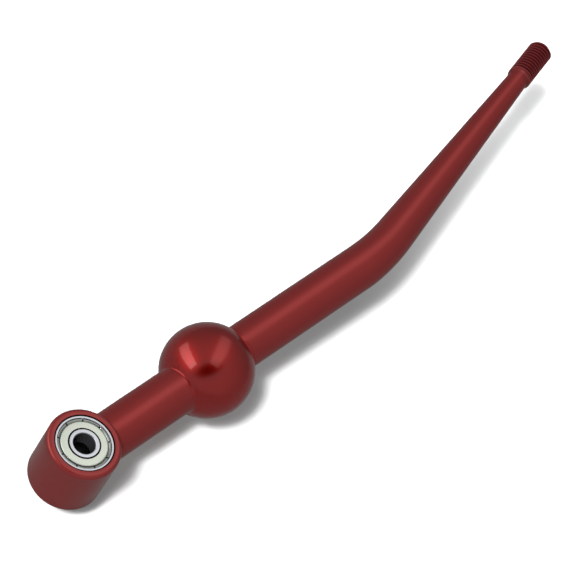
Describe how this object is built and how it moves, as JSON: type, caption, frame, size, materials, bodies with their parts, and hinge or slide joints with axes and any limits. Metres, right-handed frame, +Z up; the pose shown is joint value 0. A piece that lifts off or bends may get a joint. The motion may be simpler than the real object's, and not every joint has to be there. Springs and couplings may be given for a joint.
{
  "type": "gear shift lever",
  "caption": "Bent aluminium gear shift lever with pivot ball, threaded knob stud and a cross barrel carrying two shielded ball bearings.",
  "frame": {"origin": "centre of the pivot ball", "axes": "+Z up the straight lower shaft towards the knob stud, Y along the cross barrel and its bearings, and the shaft above the bend leans towards -X"},
  "size_m": [0.0546, 0.0352, 0.3046],
  "materials": {
    "anodised_red": "satin red anodised, glossier on the pivot ball",
    "spacer_steel": "turned steel, dull",
    "ring_steel": "ground bearing steel",
    "shield_steel": "pressed, zinc-bright sheet steel with a warm cast",
    "cage_steel": "pressed sheet steel",
    "ball_steel": "polished bearing steel"
  },
  "bodies": {
    "lever": {"lever_body": "anodised_red", "right_outer_ring": "ring_steel", "right_outer_shield": "shield_steel", "right_inner_shield": "shield_steel", "left_outer_ring": "ring_steel", "left_outer_shield": "shield_steel", "left_inner_shield": "shield_steel"},
    "clamped_core": {"bearing_spacer": "spacer_steel", "right_inner_ring": "ring_steel", "left_inner_ring": "ring_steel"},
    "right_cage": {"right_outer_cage_half": "cage_steel", "right_inner_cage_half": "cage_steel", "right_cage_rivets": "cage_steel"},
    "right_ball_body_1": {"right_ball_1": "ball_steel"},
    "right_ball_body_2": {"right_ball_2": "ball_steel"},
    "right_ball_body_3": {"right_ball_3": "ball_steel"},
    "right_ball_body_4": {"right_ball_4": "ball_steel"},
    "right_ball_body_5": {"right_ball_5": "ball_steel"},
    "right_ball_body_6": {"right_ball_6": "ball_steel"},
    "right_ball_body_7": {"right_ball_7": "ball_steel"},
    "left_cage": {"left_outer_cage_half": "cage_steel", "left_inner_cage_half": "cage_steel", "left_cage_rivets": "cage_steel"},
    "left_ball_body_1": {"left_ball_1": "ball_steel"},
    "left_ball_body_2": {"left_ball_2": "ball_steel"},
    "left_ball_body_3": {"left_ball_3": "ball_steel"},
    "left_ball_body_4": {"left_ball_4": "ball_steel"},
    "left_ball_body_5": {"left_ball_5": "ball_steel"},
    "left_ball_body_6": {"left_ball_6": "ball_steel"},
    "left_ball_body_7": {"left_ball_7": "ball_steel"}
  },
  "joints": [
    {"name": "barrel_pivot", "type": "hinge", "parent": "lever", "child": "clamped_core", "pos_m": [0, 0, -0.0667], "axis": [0, 1, 0], "continuous": true},
    {"name": "right_cage_orbit", "type": "hinge", "parent": "lever", "child": "right_cage", "pos_m": [0, -0.0092, -0.0667], "axis": [0, 1, 0], "continuous": true},
    {"name": "right_ball_1_spin", "type": "hinge", "parent": "right_cage", "child": "right_ball_body_1", "pos_m": [0.0075, -0.0092, -0.0667], "axis": [0, 1, 0], "continuous": true},
    {"name": "right_ball_2_spin", "type": "hinge", "parent": "right_cage", "child": "right_ball_body_2", "pos_m": [0.00468, -0.0092, -0.06084], "axis": [0, 1, 0], "continuous": true},
    {"name": "right_ball_3_spin", "type": "hinge", "parent": "right_cage", "child": "right_ball_body_3", "pos_m": [-0.00167, -0.0092, -0.05939], "axis": [0, 1, 0], "continuous": true},
    {"name": "right_ball_4_spin", "type": "hinge", "parent": "right_cage", "child": "right_ball_body_4", "pos_m": [-0.00676, -0.0092, -0.06345], "axis": [0, 1, 0], "continuous": true},
    {"name": "right_ball_5_spin", "type": "hinge", "parent": "right_cage", "child": "right_ball_body_5", "pos_m": [-0.00676, -0.0092, -0.06995], "axis": [0, 1, 0], "continuous": true},
    {"name": "right_ball_6_spin", "type": "hinge", "parent": "right_cage", "child": "right_ball_body_6", "pos_m": [-0.00167, -0.0092, -0.07401], "axis": [0, 1, 0], "continuous": true},
    {"name": "right_ball_7_spin", "type": "hinge", "parent": "right_cage", "child": "right_ball_body_7", "pos_m": [0.00468, -0.0092, -0.07256], "axis": [0, 1, 0], "continuous": true},
    {"name": "left_cage_orbit", "type": "hinge", "parent": "lever", "child": "left_cage", "pos_m": [0, 0.0092, -0.0667], "axis": [0, 1, 0], "continuous": true},
    {"name": "left_ball_1_spin", "type": "hinge", "parent": "left_cage", "child": "left_ball_body_1", "pos_m": [0.0075, 0.0092, -0.0667], "axis": [0, 1, 0], "continuous": true},
    {"name": "left_ball_2_spin", "type": "hinge", "parent": "left_cage", "child": "left_ball_body_2", "pos_m": [0.00468, 0.0092, -0.07256], "axis": [0, 1, 0], "continuous": true},
    {"name": "left_ball_3_spin", "type": "hinge", "parent": "left_cage", "child": "left_ball_body_3", "pos_m": [-0.00167, 0.0092, -0.07401], "axis": [0, 1, 0], "continuous": true},
    {"name": "left_ball_4_spin", "type": "hinge", "parent": "left_cage", "child": "left_ball_body_4", "pos_m": [-0.00676, 0.0092, -0.06995], "axis": [0, 1, 0], "continuous": true},
    {"name": "left_ball_5_spin", "type": "hinge", "parent": "left_cage", "child": "left_ball_body_5", "pos_m": [-0.00676, 0.0092, -0.06345], "axis": [0, 1, 0], "continuous": true},
    {"name": "left_ball_6_spin", "type": "hinge", "parent": "left_cage", "child": "left_ball_body_6", "pos_m": [-0.00167, 0.0092, -0.05939], "axis": [0, 1, 0], "continuous": true},
    {"name": "left_ball_7_spin", "type": "hinge", "parent": "left_cage", "child": "left_ball_body_7", "pos_m": [0.00468, 0.0092, -0.06084], "axis": [0, 1, 0], "continuous": true}
  ],
  "couplings": [
    {"joint": "right_cage_orbit", "follows": "barrel_pivot", "ratio": 0.3677},
    {"joint": "right_ball_1_spin", "follows": "barrel_pivot", "ratio": -1.7573},
    {"joint": "right_ball_2_spin", "follows": "barrel_pivot", "ratio": -1.7573},
    {"joint": "right_ball_3_spin", "follows": "barrel_pivot", "ratio": -1.7573},
    {"joint": "right_ball_4_spin", "follows": "barrel_pivot", "ratio": -1.7573},
    {"joint": "right_ball_5_spin", "follows": "barrel_pivot", "ratio": -1.7573},
    {"joint": "right_ball_6_spin", "follows": "barrel_pivot", "ratio": -1.7573},
    {"joint": "right_ball_7_spin", "follows": "barrel_pivot", "ratio": -1.7573},
    {"joint": "left_cage_orbit", "follows": "barrel_pivot", "ratio": 0.3677},
    {"joint": "left_ball_1_spin", "follows": "barrel_pivot", "ratio": -1.7573},
    {"joint": "left_ball_2_spin", "follows": "barrel_pivot", "ratio": -1.7573},
    {"joint": "left_ball_3_spin", "follows": "barrel_pivot", "ratio": -1.7573},
    {"joint": "left_ball_4_spin", "follows": "barrel_pivot", "ratio": -1.7573},
    {"joint": "left_ball_5_spin", "follows": "barrel_pivot", "ratio": -1.7573},
    {"joint": "left_ball_6_spin", "follows": "barrel_pivot", "ratio": -1.7573},
    {"joint": "left_ball_7_spin", "follows": "barrel_pivot", "ratio": -1.7573}
  ]
}
